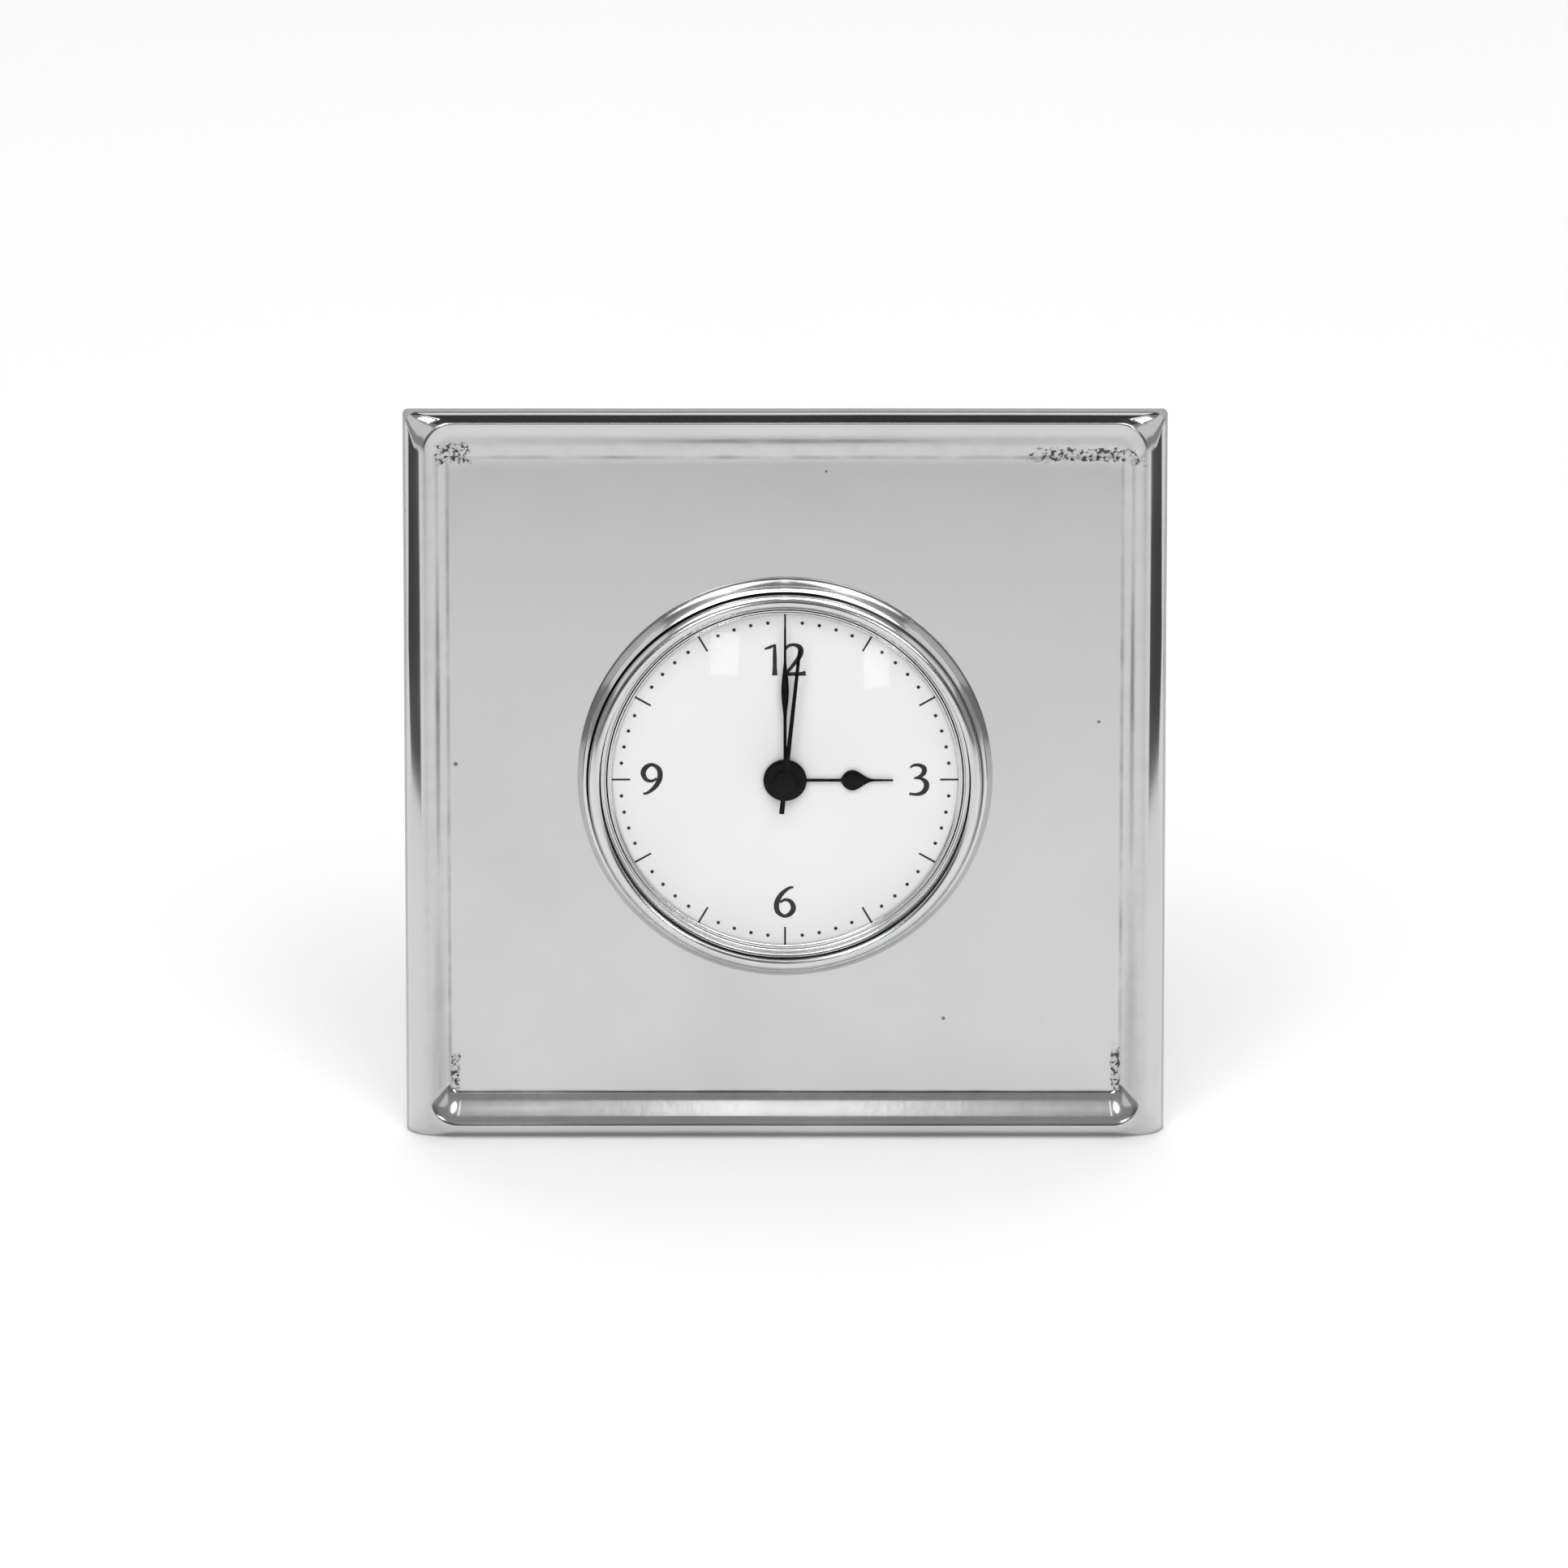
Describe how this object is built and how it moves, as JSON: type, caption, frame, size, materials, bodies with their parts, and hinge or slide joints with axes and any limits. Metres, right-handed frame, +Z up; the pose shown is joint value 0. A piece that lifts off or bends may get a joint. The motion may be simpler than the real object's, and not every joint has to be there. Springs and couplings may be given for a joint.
{
  "type": "table clock",
  "caption": "Square polished cast-aluminium table clock with a round chrome-rimmed quartz insert, standing on its lower edge and a rear leg.",
  "frame": {"origin": "on the table, in the middle of the bounding box's footprint", "axes": "+Z up, the dial faces -Y and leans back, +X to the viewer's right"},
  "size_m": [0.127, 0.056, 0.1251],
  "materials": {
    "polished_aluminium": "hand-polished sand casting",
    "chrome": "bright plated",
    "clear_acrylic": "clear, domed",
    "dial_white": "matte white with black print",
    "hand_black": "semi-gloss black",
    "black_plastic": "moulded",
    "grip_rubber": "matte",
    "movement_plastic": "moulded",
    "steel": "bright",
    "brass": "bright",
    "copper_wire": "enamelled copper winding",
    "magnet": "grey sintered magnet",
    "board_green": "circuit board",
    "cell_wrap": "plain wrap"
  },
  "bodies": {
    "stand": {"front_casting": "polished_aluminium", "rear_leg": "polished_aluminium", "leg_screw_left": "steel", "leg_screw_right": "steel", "bezel": "chrome", "lens": "clear_acrylic", "inner_ring": "chrome", "dial": "dial_white", "insert_can": "black_plastic", "grip_ring": "grip_rubber", "battery": "cell_wrap", "positive_contact": "brass", "negative_contact": "brass", "movement_front_plate": "movement_plastic", "movement_back_plate": "movement_plastic", "plate_screw_1": "steel", "plate_screw_2": "steel", "plate_screw_3": "steel", "stator": "steel", "coil": "copper_wire", "coil_core": "steel", "circuit_board": "board_green", "quartz_crystal": "steel", "driver_chip": "black_plastic"},
    "minute_train": {"minute_arbor": "brass", "centre_wheel": "movement_plastic", "minute_hand": "hand_black"},
    "hour_train": {"hour_wheel": "brass", "hour_hand": "hand_black"},
    "seconds_train": {"seconds_wheel": "movement_plastic", "second_hand": "hand_black"},
    "motion_wheel": {"minute_wheel": "movement_plastic"},
    "setting": {"setting_knob": "black_plastic", "setting_pinion": "steel"},
    "third": {"third_wheel": "movement_plastic"},
    "intermediate": {"intermediate_wheel": "movement_plastic"},
    "motor_rotor": {"rotor": "magnet"},
    "door": {"battery_door": "black_plastic"}
  },
  "joints": [
    {"name": "minute_spin", "type": "hinge", "parent": "stand", "child": "minute_train", "pos_m": [0, -0.01351, 0.06204], "axis": [0, 0.9848, -0.1736], "continuous": true},
    {"name": "hour_spin", "type": "hinge", "parent": "stand", "child": "hour_train", "pos_m": [0, -0.01351, 0.06204], "axis": [0, 0.9848, -0.1736], "continuous": true},
    {"name": "second_spin", "type": "hinge", "parent": "stand", "child": "seconds_train", "pos_m": [0, -0.01351, 0.06204], "axis": [0, 0.9848, -0.1736], "continuous": true},
    {"name": "motion_wheel_spin", "type": "hinge", "parent": "stand", "child": "motion_wheel", "pos_m": [0, -0.01194, 0.07091], "axis": [0, 0.9848, -0.1736], "continuous": true},
    {"name": "setting_spin", "type": "hinge", "parent": "stand", "child": "setting", "pos_m": [0, -0.0103, 0.08021], "axis": [0, 0.9848, -0.1736], "continuous": true},
    {"name": "third_spin", "type": "hinge", "parent": "stand", "child": "third", "pos_m": [0.01113, -0.01299, 0.06498], "axis": [0, 0.9848, -0.1736], "continuous": true},
    {"name": "intermediate_spin", "type": "hinge", "parent": "stand", "child": "intermediate", "pos_m": [-0.01116, -0.01299, 0.06499], "axis": [0, 0.9848, -0.1736], "continuous": true},
    {"name": "rotor_spin", "type": "hinge", "parent": "stand", "child": "motor_rotor", "pos_m": [-0.01943, -0.01178, 0.07183], "axis": [0, 0.9848, -0.1736], "continuous": true},
    {"name": "door_slide", "type": "slide", "parent": "stand", "child": "door", "axis": [0, 0.9848, -0.1736], "range_m": [0, 0.016]}
  ],
  "couplings": [
    {"joint": "hour_spin", "follows": "minute_spin", "ratio": 0.083333},
    {"joint": "second_spin", "follows": "minute_spin", "ratio": 60},
    {"joint": "motion_wheel_spin", "follows": "minute_spin", "ratio": -0.33333},
    {"joint": "setting_spin", "follows": "minute_spin", "ratio": 0.83333},
    {"joint": "third_spin", "follows": "minute_spin", "ratio": -8},
    {"joint": "intermediate_spin", "follows": "minute_spin", "ratio": -360},
    {"joint": "rotor_spin", "follows": "minute_spin", "ratio": 1800}
  ]
}
